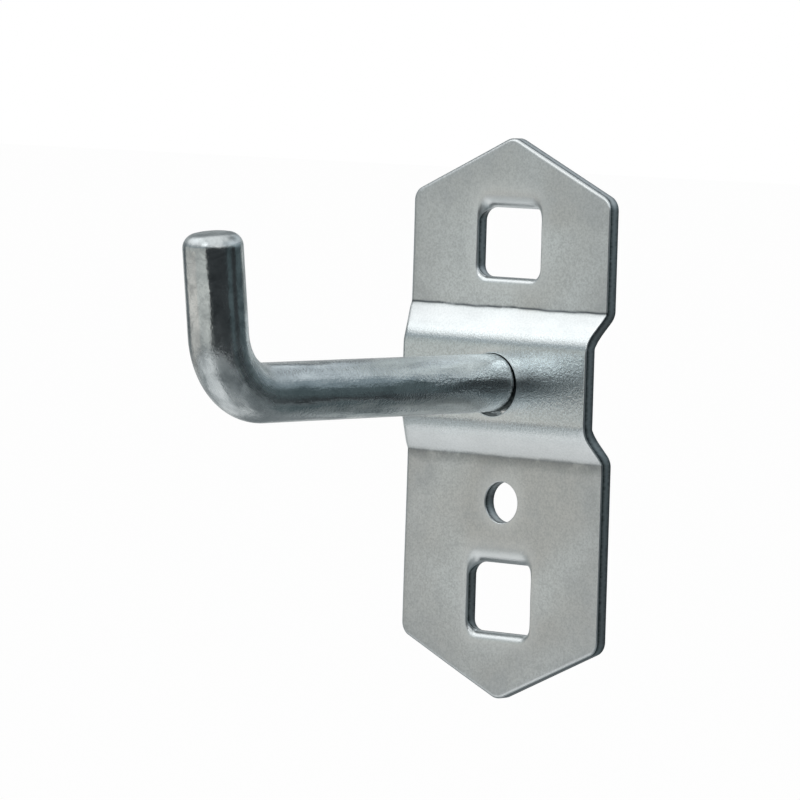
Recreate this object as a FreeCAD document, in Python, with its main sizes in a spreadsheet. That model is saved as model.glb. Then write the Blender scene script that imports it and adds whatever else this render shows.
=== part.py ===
"""Square-hole panel hook: a pressed steel back plate with a headed round bar through its raised band.

Frame: +X runs across the plate, the bar points along -Y, the panel lies behind at +Y and +Z is up.
The origin is on the plate's back face, mid-width, at the underside of the upper tongue: the hang line.
"""
import FreeCAD
import Part
import Sketcher
import os
from collections import namedtuple

# Driving sizes in millimetres and degrees: cell alias, value, meaning
SIZES = (
    ("plate_width", 27.1, "Width of both flanges"),
    ("waist_depth", 0.9, "Draw-in of each side beside the raised band"),
    ("waist_run", 3.8, "Height over which each side draws in"),
    ("waist_margin", 0.4, "Start of the waist beyond the slopes' feet"),
    ("sheet_thickness", 1.5, "Thickness of the plate's sheet"),
    ("upper_shoulder_rise", 1.3, "Upper shoulders above the hang line"),
    ("lower_shoulder_drop", 8.25, "Lower shoulders below the lower tongue"),
    ("point_rise", 6.35, "Sharp points beyond the shoulders, top and bottom"),
    ("shoulder_radius", 1.6, "Rounding of the four shoulders"),
    ("point_radius", 2.0, "Rounding of the two points"),
    ("band_lift", 0.5, "Middle of the band above the middle between the tongues"),
    ("joggle_depth", 2.2, "Band in front of the flanges"),
    ("slope_height", 3.2, "Height of each slope between its sharp folds"),
    ("fold_radius", 0.5, "Inner radius of the four folds"),
    ("edge_roll", 0.35, "Rounding that the shear leaves on the front edges"),
    ("tongue_pitch", 38.0, "Upper tongue to lower tongue: the panel's hole pitch"),
    ("tongue_width", 8.6, "Width of the tongues and their windows"),
    ("window_drop", 7.4, "Tongue underside down to its window's lower edge"),
    ("window_radius", 1.2, "Rounding of the windows' lower corners"),
    ("lip_radius", 0.2, "Inner radius of the tongues' bends"),
    ("panel_gap", 2.1, "Room for the panel behind the plate"),
    ("upper_tongue_rise", 4.0, "Upturned end of the upper tongue above the hang line"),
    ("lower_tongue_reach", 7.5, "Lower tongue behind the plate"),
    ("tongue_taper", 1.4, "Corner cut on the ends of the tongues"),
    ("screw_hole_diameter", 4.4, "Hole for a retaining screw"),
    ("bar_diameter", 6.2, "Diameter of the bar"),
    ("bar_clearance", 0.6, "Bar hole wider than the bar"),
    ("bar_lift", 0.2, "Bar above the middle of its hole"),
    ("bar_reach", 46.6, "Plate's back to the bar's corner, on its centre line"),
    ("bend_radius", 7.0, "Centre-line radius of the bar's bend"),
    ("tip_rise", 16.4, "End of the tip above the bar's centre line"),
    ("tip_lean", 7.5, "Degrees that the tip leans outwards"),
    ("tip_rounding", 1.5, "Rounding of the tip's end"),
    ("head_seat", 0.6, "Overlap of the bar's head round the bar hole"),
    ("head_room", 0.13, "Gap from the head to the folds above and below it"),
    ("head_setback", 0.3, "Head in front of the plate's back"),
    ("head_bevel", 0.4, "Bevel round the head"),
)

# Heights and offsets that follow from them
LOWER_TONGUE = "-sizes.tongue_pitch"
BAND_MIDDLE = "(sizes.band_lift - sizes.tongue_pitch / 2)"
BAR_HOLE = "(sizes.bar_diameter + sizes.bar_clearance)"
HEAD_DIAMETER = f"({BAR_HOLE} + 2 * sizes.head_seat)"
FOLD_SLACK = "tan(atan(sizes.joggle_depth / sizes.slope_height) / 2)"
FOLD_SHIFT = f"sizes.sheet_thickness * {FOLD_SLACK}"
HALF_BAND = (
    f"({HEAD_DIAMETER} / 2 + sizes.head_room + (sizes.sheet_thickness + sizes.fold_radius) * {FOLD_SLACK})"
)
HALF_FORM = f"({HALF_BAND} + sizes.slope_height)"
BAND_FRONT = "-(sizes.sheet_thickness + sizes.joggle_depth)"
UPPER_SHOULDER = "sizes.upper_shoulder_rise"
UPPER_POINT = "(sizes.upper_shoulder_rise + sizes.point_rise)"
LOWER_SHOULDER = "-(sizes.tongue_pitch + sizes.lower_shoulder_drop)"
LOWER_POINT = "-(sizes.tongue_pitch + sizes.lower_shoulder_drop + sizes.point_rise)"
LIP_RADIUS = "(sizes.lip_radius + sizes.sheet_thickness)"
SCREW_HEIGHT = f"({BAND_MIDDLE} - {HALF_FORM} + {LOWER_TONGUE} + {LIP_RADIUS}) / 2"
TIP_RUN = "(sizes.tip_rise * tan(sizes.tip_lean * 1deg))"
BEND_TANGENT = "(sizes.bend_radius * tan((90deg - sizes.tip_lean * 1deg) / 2))"

# Distance, in millimetres, below which two points count as one
NEAR = 1e-4

# A corner of a sketch: formulas for its place, and for the centre of an arc that leads on from it
Stop = namedtuple("Stop", "across up centre", defaults=[None])


def write_sizes(doc):
    """Puts the driving sizes into a sheet, one aliased cell each."""
    sheet = doc.addObject("Spreadsheet::Sheet", "sizes")
    for row, (alias, value, meaning) in enumerate(SIZES, start=1):
        sheet.set(f"A{row}", meaning)
        sheet.set(f"B{row}", str(value))
        sheet.setAlias(f"B{row}", alias)
    doc.recompute()
    return sheet


def add_body(doc, label):
    """Adds an empty body whose label names its file."""
    body = doc.addObject("PartDesign::Body", label)
    body.Label = label
    return body


def add_sketch(body, name, role):
    """Adds a sketch on one of the body's own origin planes."""
    sketch = body.newObject("Sketcher::SketchObject", name)
    plane = next(item for item in body.Origin.OriginFeatures if item.Role == role)
    sketch.AttachmentSupport = (plane, [""])
    sketch.MapMode = "FlatFace"
    return sketch


def bind(sketch, kind, formula, *geometry):
    """Adds a dimension to the sketch and ties it to a formula."""
    index = sketch.addConstraint(Sketcher.Constraint(kind, *geometry, sketch.evalExpression(formula)))
    sketch.setExpression(f"Constraints[{index}]", formula)


def pin(sketch, geometry, end, across, up):
    """Ties a point of the sketch to its place across and up from the origin."""
    bind(sketch, "DistanceX", across, -1, 1, geometry, end)
    bind(sketch, "DistanceY", up, -1, 1, geometry, end)


def place(sketch, across, up):
    """Works out a sketch point from its two formulas."""
    return FreeCAD.Vector(sketch.evalExpression(across), sketch.evalExpression(up), 0)


def arc_about(centre, start, end):
    """Makes the shorter arc between two points round a centre, anticlockwise as sketches keep arcs."""
    if (start - centre).cross(end - centre).z < 0:
        start, end = end, start
    outward = (start + end) / 2 - centre
    return Part.Arc(start, centre + outward.normalize() * (start - centre).Length, end)


def trace(sketch, stops, closed=True):
    """Draws lines and arcs from stop to stop and ties every stop to its formulas.

    A stop with a centre leads on to the next stop by an arc round that centre, and the others by a line.
    """
    spots = [place(sketch, stop.across, stop.up) for stop in stops]
    pieces = []
    for stop, start, end in zip(stops, spots, spots[1:] + spots[:1]):
        if stop.centre:
            pieces.append(arc_about(place(sketch, *stop.centre), start, end))
        else:
            pieces.append(Part.LineSegment(start, end))
    ids = [sketch.addGeometry(piece, False) for piece in (pieces if closed else pieces[:-1])]

    def end_at(geometry, spot):
        return 1 if (sketch.Geometry[geometry].StartPoint - spot).Length < NEAR else 2

    for index, stop in enumerate(stops):
        leaving = ids[min(index, len(ids) - 1)]
        pin(sketch, leaving, end_at(leaving, spots[index]), stop.across, stop.up)
        if stop.centre:
            bind(sketch, "DistanceX", stop.centre[0], -1, 1, leaving, 3)
    for index in range(0 if closed else 1, len(ids)):
        arriving, leaving, spot = ids[index - 1], ids[index], spots[index]
        joint = (arriving, end_at(arriving, spot), leaving, end_at(leaving, spot))
        sketch.addConstraint(Sketcher.Constraint("Coincident", *joint))


def polygon(sketch, corners):
    """Draws a closed outline of straight lines through corners given as pairs of formulas."""
    trace(sketch, [Stop(*corner) for corner in corners])


def circle(sketch, across, up, diameter):
    """Draws a circle whose centre and diameter are formulas."""
    radius = sketch.evalExpression(diameter) / 2
    ring = sketch.addGeometry(Part.Circle(place(sketch, across, up), FreeCAD.Vector(0, 0, 1), radius), False)
    pin(sketch, ring, 3, across, up)
    bind(sketch, "Diameter", diameter, ring)


def require_sound(item):
    """Stops if an object failed or its shape is missing or invalid."""
    if "Invalid" in item.State or "Error" in item.State:
        raise RuntimeError(f"{item.Name} failed: {item.State}")
    if item.isDerivedFrom("Part::Feature") and (item.Shape.isNull() or not item.Shape.isValid()):
        raise RuntimeError(f"{item.Name} has no valid shape")


def settle(feature):
    """Recomputes the document and checks the feature."""
    feature.Document.recompute()
    require_sound(feature)
    return feature


def add_pad(body, name, sketch, length):
    """Pads a sketch to both sides of its plane."""
    pad = body.newObject("PartDesign::Pad", name)
    pad.Profile = sketch
    pad.SideType = "Symmetric"
    pad.setExpression("Length", length)
    return settle(pad)


def add_cut(body, name, sketch):
    """Cuts a sketch right through the body and checks that it removed something."""
    before = body.Shape.Volume
    cut = body.newObject("PartDesign::Pocket", name)
    cut.Profile = sketch
    cut.SideType = "Symmetric"
    cut.Type = "ThroughAll"
    settle(cut)
    if body.Shape.Volume >= before:
        raise RuntimeError(f"{name} removed nothing")
    return cut


def edges_at(feature, axis, spots):
    """Names the straight edges along an axis that pass through the spots.

    A spot gives the two coordinates across the axis, in the order X, Y, Z.
    """
    names = []
    for number, edge in enumerate(feature.Shape.Edges, start=1):
        start, end = edge.Vertexes[0].Point, edge.Vertexes[-1].Point
        across = [index for index in range(3) if index != axis]
        straight = all(abs(start[index] - end[index]) < NEAR for index in across)
        if not straight or abs(start[axis] - end[axis]) < NEAR:
            continue
        if any(all(abs(start[i] - value) < NEAR for i, value in zip(across, spot)) for spot in spots):
            names.append(f"Edge{number}")
    return names


def round_edges(body, name, base, edges, radius):
    """Rounds the named edges of the base feature."""
    fillet = body.newObject("PartDesign::Fillet", name)
    fillet.Base = (base, edges)
    fillet.setExpression("Radius", radius)
    return settle(fillet)


def bevel_edges(body, name, base, edges, size):
    """Cuts the named edges of the base feature at 45 degrees."""
    chamfer = body.newObject("PartDesign::Chamfer", name)
    chamfer.Base = (base, edges)
    chamfer.setExpression("Size", size)
    return settle(chamfer)


def press_sheet(body, value):
    """Presses the sheet: two flanges in one plane and a raised band between two slopes."""
    band_back = "-sizes.joggle_depth"
    flange_front = "-sizes.sheet_thickness"
    fold = {
        "upper_front_root": (flange_front, f"{BAND_MIDDLE} + {HALF_FORM}"),
        "upper_front_crest": (BAND_FRONT, f"{BAND_MIDDLE} + {HALF_BAND}"),
        "lower_front_crest": (BAND_FRONT, f"{BAND_MIDDLE} - {HALF_BAND}"),
        "lower_front_root": (flange_front, f"{BAND_MIDDLE} - {HALF_FORM}"),
        "lower_back_root": ("0", f"{BAND_MIDDLE} - {HALF_FORM} + {FOLD_SHIFT}"),
        "lower_back_crest": (band_back, f"{BAND_MIDDLE} - {HALF_BAND} + {FOLD_SHIFT}"),
        "upper_back_crest": (band_back, f"{BAND_MIDDLE} + {HALF_BAND} - {FOLD_SHIFT}"),
        "upper_back_root": ("0", f"{BAND_MIDDLE} + {HALF_FORM} - {FOLD_SHIFT}"),
    }
    profile = add_sketch(body, "sheet_profile", "YZ_Plane")
    front = [fold[key] for key in fold if "front" in key]
    back = [fold[key] for key in fold if "back" in key]
    lower_end = [(flange_front, LOWER_POINT), ("0", LOWER_POINT)]
    upper_end = [("0", UPPER_POINT), (flange_front, UPPER_POINT)]
    polygon(profile, front + lower_end + back + upper_end)
    sheet = add_pad(body, "pressed_sheet", profile, "sizes.plate_width")

    def spots(*keys):
        return [(value(fold[key][0]), value(fold[key][1])) for key in keys]

    inner = spots("upper_front_root", "lower_front_root", "upper_back_crest", "lower_back_crest")
    outer = spots("upper_front_crest", "lower_front_crest", "upper_back_root", "lower_back_root")
    sheet = round_edges(body, "inner_folds", sheet, edges_at(sheet, 0, inner), "sizes.fold_radius")
    outer_radius = "sizes.fold_radius + sizes.sheet_thickness"
    return round_edges(body, "outer_folds", sheet, edges_at(sheet, 0, outer), outer_radius)


def waist_side():
    """Gives the stops down the right side of the waist: an S-bend in, the band's edge and an S-bend out."""
    half, inner = "sizes.plate_width / 2", "(sizes.plate_width / 2 - sizes.waist_depth)"
    half_way = "(sizes.plate_width - sizes.waist_depth) / 2"
    radius = "(pow(sizes.waist_run; 2) + pow(sizes.waist_depth; 2)) / (4 * sizes.waist_depth)"
    start = f"({HALF_FORM} + sizes.waist_margin)"
    middle, end = f"({start} - sizes.waist_run / 2)", f"({start} - sizes.waist_run)"
    flange_turn, waist_turn = f"{half} - {radius}", f"{inner} + {radius}"
    return [
        Stop(half, f"{BAND_MIDDLE} + {start}", (flange_turn, f"{BAND_MIDDLE} + {start}")),
        Stop(half_way, f"{BAND_MIDDLE} + {middle}", (waist_turn, f"{BAND_MIDDLE} + {end}")),
        Stop(inner, f"{BAND_MIDDLE} + {end}"),
        Stop(inner, f"{BAND_MIDDLE} - {end}", (waist_turn, f"{BAND_MIDDLE} - {end}")),
        Stop(half_way, f"{BAND_MIDDLE} - {middle}", (flange_turn, f"{BAND_MIDDLE} - {start}")),
        Stop(half, f"{BAND_MIDDLE} - {start}"),
    ]


def mirrored(stops):
    """Gives the stops of the other side, in the order that carries the outline on."""
    centres = [None] + [stop.centre for stop in stops[:-1]]
    other = []
    for stop, centre in zip(reversed(stops), reversed(centres)):
        turned = centre and (f"-({centre[0]})", centre[1])
        other.append(Stop(f"-({stop.across})", stop.up, turned))
    return other


def blank_outline(body, value):
    """Blanks the pointed outline with its waist out of the pressed sheet."""
    half = "sizes.plate_width / 2"
    shoulders = [Stop(half, UPPER_SHOULDER), Stop(half, LOWER_SHOULDER)]
    points = [Stop("0", UPPER_POINT), Stop("0", LOWER_POINT)]
    right = shoulders[:1] + waist_side() + shoulders[1:]
    outline = add_sketch(body, "outline", "XZ_Plane")
    trace(outline, points[:1] + right + points[1:] + mirrored(right))
    margin = "sizes.plate_width"
    polygon(outline, [
        (f"-{margin}", f"{UPPER_POINT} + {margin}"),
        (margin, f"{UPPER_POINT} + {margin}"),
        (margin, f"{LOWER_POINT} - {margin}"),
        (f"-{margin}", f"{LOWER_POINT} - {margin}"),
    ])
    blank = add_cut(body, "blanking", outline)

    def both_sides(stops):
        return [(sign * value(stop.across), value(stop.up)) for stop in stops for sign in (1, -1)]

    point_edges = edges_at(blank, 1, both_sides(points))
    blank = round_edges(body, "rounded_points", blank, point_edges, "sizes.point_radius")
    shoulder_edges = edges_at(blank, 1, both_sides(shoulders))
    return round_edges(body, "rounded_shoulders", blank, shoulder_edges, "sizes.shoulder_radius")


def cut_windows(body, value):
    """Cuts the two square windows that the tongues are bent out of, up to the start of each bend."""
    half = "sizes.tongue_width / 2"
    openings = add_sketch(body, "windows", "XZ_Plane")
    lower_edges = []
    for tongue in ("0", LOWER_TONGUE):
        lower, upper = f"{tongue} - sizes.window_drop", f"{tongue} + {LIP_RADIUS}"
        polygon(openings, [(f"-{half}", lower), (half, lower), (half, upper), (f"-{half}", upper)])
        lower_edges += [(sign * value(half), value(lower)) for sign in (1, -1)]
    cut = add_cut(body, "window_cut", openings)
    return round_edges(body, "window_corners", cut, edges_at(cut, 1, lower_edges), "sizes.window_radius")


def tongue_root(under):
    """Gives the stops of a tongue's root: the bend's back to its top, and its front to its underside."""
    lip, thickness = "sizes.lip_radius", "sizes.sheet_thickness"
    bend_height = f"{under} + {LIP_RADIUS}"
    centre = (lip, bend_height)
    back = [Stop(lip, f"{under} + {thickness}", centre), Stop("0", bend_height)]
    front = [Stop(f"-{thickness}", bend_height, centre), Stop(lip, under)]
    return back + front


def bend_tongues(body, value):
    """Bends a tongue back from each window's top: the upper one turns up, the lower one runs straight."""
    upturn_front, upturn_back = "sizes.panel_gap", "sizes.panel_gap + sizes.sheet_thickness"
    turn = "sizes.panel_gap - sizes.lip_radius"
    turn_centre = (turn, LIP_RADIUS)
    profile = add_sketch(body, "tongue_profiles", "YZ_Plane")
    trace(profile, tongue_root("0") + [
        Stop(turn, "0", turn_centre),
        Stop(upturn_back, LIP_RADIUS),
        Stop(upturn_back, "sizes.upper_tongue_rise"),
        Stop(upturn_front, "sizes.upper_tongue_rise"),
        Stop(upturn_front, LIP_RADIUS, turn_centre),
        Stop(turn, "sizes.sheet_thickness"),
    ])
    trace(profile, tongue_root(LOWER_TONGUE) + [
        Stop("sizes.lower_tongue_reach", LOWER_TONGUE),
        Stop("sizes.lower_tongue_reach", f"{LOWER_TONGUE} + sizes.sheet_thickness"),
    ])
    tongues = add_pad(body, "tongues", profile, "sizes.tongue_width")
    half = value("sizes.tongue_width / 2")
    upturned = [(sign * half, value("sizes.upper_tongue_rise")) for sign in (1, -1)]
    straight = [(sign * half, value("sizes.lower_tongue_reach")) for sign in (1, -1)]
    ends = edges_at(tongues, 1, upturned) + edges_at(tongues, 2, straight)
    return bevel_edges(body, "tongue_ends", tongues, ends, "sizes.tongue_taper")


def drill_holes(body):
    """Drills the bar hole in the band and the screw hole below it."""
    holes = add_sketch(body, "holes", "XZ_Plane")
    circle(holes, "0", f"{BAND_MIDDLE} - sizes.bar_lift", BAR_HOLE)
    circle(holes, "0", SCREW_HEIGHT, "sizes.screw_hole_diameter")
    return add_cut(body, "hole_cut", holes)


def front_edges(base, value):
    """Names the edges where the front of the sheet meets a cut side."""
    names = []
    for number, edge in enumerate(base.Shape.Edges, start=1):
        middle = edge.valueAt((edge.FirstParameter + edge.LastParameter) / 2)
        slants = []
        for face in base.Shape.ancestorsOfType(edge, Part.Face):
            slants.append(face.normalAt(*face.Surface.parameter(middle)).y)
        on_front = middle.y < value("-sizes.sheet_thickness") + NEAR
        if on_front and min(slants) < -0.5 and abs(max(slants)) < NEAR:
            names.append(f"Edge{number}")
    return names


def make_back_plate(doc, value):
    """Makes the back plate: one sheet, pressed, blanked, lanced and drilled."""
    body = add_body(doc, "back_plate")
    press_sheet(body, value)
    blank_outline(body, value)
    cut_windows(body, value)
    bend_tongues(body, value)
    drilled = drill_holes(body)
    round_edges(body, "rolled_edges", drilled, front_edges(drilled, value), "sizes.edge_roll")
    return body


def make_hook_bar(doc):
    """Makes the bar: a round section swept along its bend, a rounded tip and a head behind the band."""
    body = add_body(doc, "hook_bar")
    start = "-sizes.joggle_depth"
    corner = "-sizes.bar_reach"
    lean = "sizes.tip_lean * 1deg"
    bend_start = f"{corner} + {BEND_TANGENT}"
    path = add_sketch(body, "bar_path", "YZ_Plane")
    trace(path, [
        Stop(start, BAND_MIDDLE),
        Stop(bend_start, BAND_MIDDLE, (bend_start, f"{BAND_MIDDLE} + sizes.bend_radius")),
        Stop(f"{corner} - {BEND_TANGENT} * sin({lean})", f"{BAND_MIDDLE} + {BEND_TANGENT} * cos({lean})"),
        Stop(f"{corner} - {TIP_RUN}", f"{BAND_MIDDLE} + sizes.tip_rise"),
    ], closed=False)

    section = add_sketch(body, "bar_section", "XZ_Plane")
    section.setExpression("AttachmentOffset.Base.z", "sizes.joggle_depth")
    circle(section, "0", BAND_MIDDLE, "sizes.bar_diameter")
    doc.recompute()
    bar = body.newObject("PartDesign::AdditivePipe", "bar")
    bar.Profile = section
    bar.Spine = path
    settle(bar)

    end = max(range(len(bar.Shape.Edges)), key=lambda i: bar.Shape.Edges[i].CenterOfMass.z)
    round_edges(body, "tip_end", bar, [f"Edge{end + 1}"], "sizes.tip_rounding")

    head_section = add_sketch(body, "head_section", "XZ_Plane")
    head_section.setExpression("AttachmentOffset.Base.z", "sizes.joggle_depth")
    circle(head_section, "0", BAND_MIDDLE, HEAD_DIAMETER)
    head = body.newObject("PartDesign::Pad", "head")
    head.Profile = head_section
    head.Reversed = True
    head.setExpression("Length", "sizes.joggle_depth - sizes.head_setback")
    settle(head)
    rim = max(range(len(head.Shape.Edges)), key=lambda i: head.Shape.Edges[i].CenterOfMass.y)
    bevel_edges(body, "head_rim", head, [f"Edge{rim + 1}"], "sizes.head_bevel")
    return body


def check(doc, bodies):
    """Stops if any object failed or a body is not one solid."""
    for item in doc.Objects:
        require_sound(item)
    for body in bodies:
        if len(body.Shape.Solids) != 1:
            raise RuntimeError(f"{body.Label} is not one solid")


def main():
    """Builds the document and writes one file for each sub-part."""
    doc = FreeCAD.newDocument("panel_hook")
    sheet = write_sizes(doc)
    bodies = [make_back_plate(doc, sheet.evalExpression), make_hook_bar(doc)]
    doc.recompute()
    check(doc, bodies)
    os.makedirs("parts", exist_ok=True)
    for body in bodies:
        body.Shape.exportStep(f"parts/{body.Label}.step")
        box = body.Shape.BoundBox
        print(f"{body.Label}: {body.Shape.Volume:.1f} mm3, {box}")


main()
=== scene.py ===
"""Looks of a square-hole panel hook: a pressed, zinc-plated back plate and a round bar with an upturned tip.

Sizes in the classes are millimetres and angles are degrees. Meshes are metres in the CAD frame: +X across
the plate, -Y along the bar away from the panel, +Z up, with the origin on the plate's back at the underside
of the upper tongue.
"""
import logging
import math
from collections.abc import Callable, Sequence
from dataclasses import dataclass
from enum import Enum

import bmesh
import bpy
import numpy as np
from mathutils import Matrix, Vector
from mathutils.geometry import delaunay_2d_cdt


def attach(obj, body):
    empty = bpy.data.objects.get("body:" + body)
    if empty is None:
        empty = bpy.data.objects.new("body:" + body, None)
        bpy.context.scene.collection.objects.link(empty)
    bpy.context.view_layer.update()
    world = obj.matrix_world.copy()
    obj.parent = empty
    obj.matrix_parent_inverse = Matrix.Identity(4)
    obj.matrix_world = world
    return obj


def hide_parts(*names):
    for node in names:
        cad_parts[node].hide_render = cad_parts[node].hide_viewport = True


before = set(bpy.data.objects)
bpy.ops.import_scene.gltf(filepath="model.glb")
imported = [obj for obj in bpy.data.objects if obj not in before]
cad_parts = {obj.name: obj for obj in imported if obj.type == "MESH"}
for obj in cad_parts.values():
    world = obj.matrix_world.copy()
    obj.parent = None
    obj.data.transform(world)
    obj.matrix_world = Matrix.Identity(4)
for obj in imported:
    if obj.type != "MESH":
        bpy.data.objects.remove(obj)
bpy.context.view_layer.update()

LOG = logging.getLogger("panel_hook")
MM = 0.001
WHITE = "#FFFFFF"
ARC_STEP = math.radians(7)
MARKS = ("rim", "crease_shade", "shear", "brim")
SOCKET_KINDS = {tuple: "NodeSocketVector", float: "NodeSocketFloat", bpy.types.Material: "NodeSocketMaterial"}

# Two limits of one measure, and two places along the bar with the shares at them.
Span = tuple[float, float]
Ramp = tuple[float, float, float, float]


def linear(code: str) -> tuple[float, float, float, float]:
    """Turns an sRGB hex value into a linear colour.

    Args:
        code: Colour such as "#C2C7C9".

    Returns:
        Linear red, green and blue, and an alpha of 1.
    """
    channels = [int(code[i:i + 2], 16) / 255 for i in (1, 3, 5)]
    red, green, blue = (c / 12.92 if c <= 0.04045 else ((c + 0.055) / 1.055) ** 2.4 for c in channels)
    return red, green, blue, 1.0


def per_metre(size_mm: float) -> float:
    """Gives the texture scale whose features are about this many millimetres across."""
    return 1 / (size_mm * MM)


def add_node(tree: bpy.types.NodeTree, kind: str, inputs: dict | Sequence = (), output: str = "",
             **settings: object) -> bpy.types.NodeSocket | None:
    """Adds a node with its settings, and sets or links its inputs.

    Args:
        tree: Tree that gets the node.
        kind: The node's type name.
        inputs: Plain values or sockets to link from, by input identifier or else in the inputs' own order.
        output: Identifier of the output that is wanted, if not the first.
        settings: Attributes of the node itself.

    Returns:
        The wanted output socket, or None if the node has no outputs.
    """
    node = tree.nodes.new(kind)
    for name, value in settings.items():
        setattr(node, name, value)
    sockets = {socket.identifier: socket for socket in node.inputs}
    named = inputs if isinstance(inputs, dict) else dict(zip(sockets, inputs))
    for identifier, value in named.items():
        if isinstance(value, bpy.types.NodeSocket):
            tree.links.new(value, sockets[identifier])
        else:
            sockets[identifier].default_value = value
    return next((item for item in node.outputs if output in ("", item.identifier)), None)


def direction(azimuth: float, elevation: float) -> Vector:
    """Gives the way to look from the object.

    Args:
        azimuth: Degrees round it: 0 is the front, 90 the right.
        elevation: Degrees above the level.

    Returns:
        A vector of length 1.
    """
    turn, up = math.radians(azimuth), math.radians(elevation)
    return Vector((math.sin(turn) * math.cos(up), -math.cos(turn) * math.cos(up), math.sin(up)))


def new_metal(name: str) -> tuple[bpy.types.Material, bpy.types.NodeTree, bpy.types.Node]:
    """Starts a bare metal, which keeps the shader's own index of refraction.

    Args:
        name: The finish's name.

    Returns:
        The material, its node tree and its Principled shader.
    """
    material = bpy.data.materials.new(name)
    material.use_nodes = True
    tree = material.node_tree
    shader = tree.nodes["Principled BSDF"]
    shader.inputs["Metallic"].default_value = 1.0
    return material, tree, shader


def cleared_tree(owner: bpy.types.Material | bpy.types.World) -> bpy.types.NodeTree:
    """Gives a material or a world an empty node tree.

    Args:
        owner: What the tree belongs to.

    Returns:
        The tree.
    """
    owner.use_nodes = True
    owner.node_tree.nodes.clear()
    return owner.node_tree


def new_object(name: str, data: bpy.types.ID) -> bpy.types.Object:
    """Puts a mesh, light or camera into the scene as an object at the origin.

    Args:
        name: The object's name.
        data: What the object shows.

    Returns:
        The object.
    """
    item = bpy.data.objects.new(name, data)
    bpy.context.scene.collection.objects.link(item)
    return item


def fill_mesh(bm: bmesh.types.BMesh, mesh: bpy.types.Mesh, sharpest: float) -> None:
    """Turns faces outwards, shades them smooth across all but sharp edges and puts them into a mesh.

    Args:
        bm: The faces, freed here.
        mesh: Mesh that gets them.
        sharpest: Angle between two faces from which their edge stays sharp.
    """
    bmesh.ops.recalc_face_normals(bm, faces=bm.faces)
    for face in bm.faces:
        face.smooth = True
    for edge in bm.edges:
        edge.smooth = edge.calc_face_angle(0) < math.radians(sharpest)
    bm.to_mesh(mesh)
    bm.free()


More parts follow.
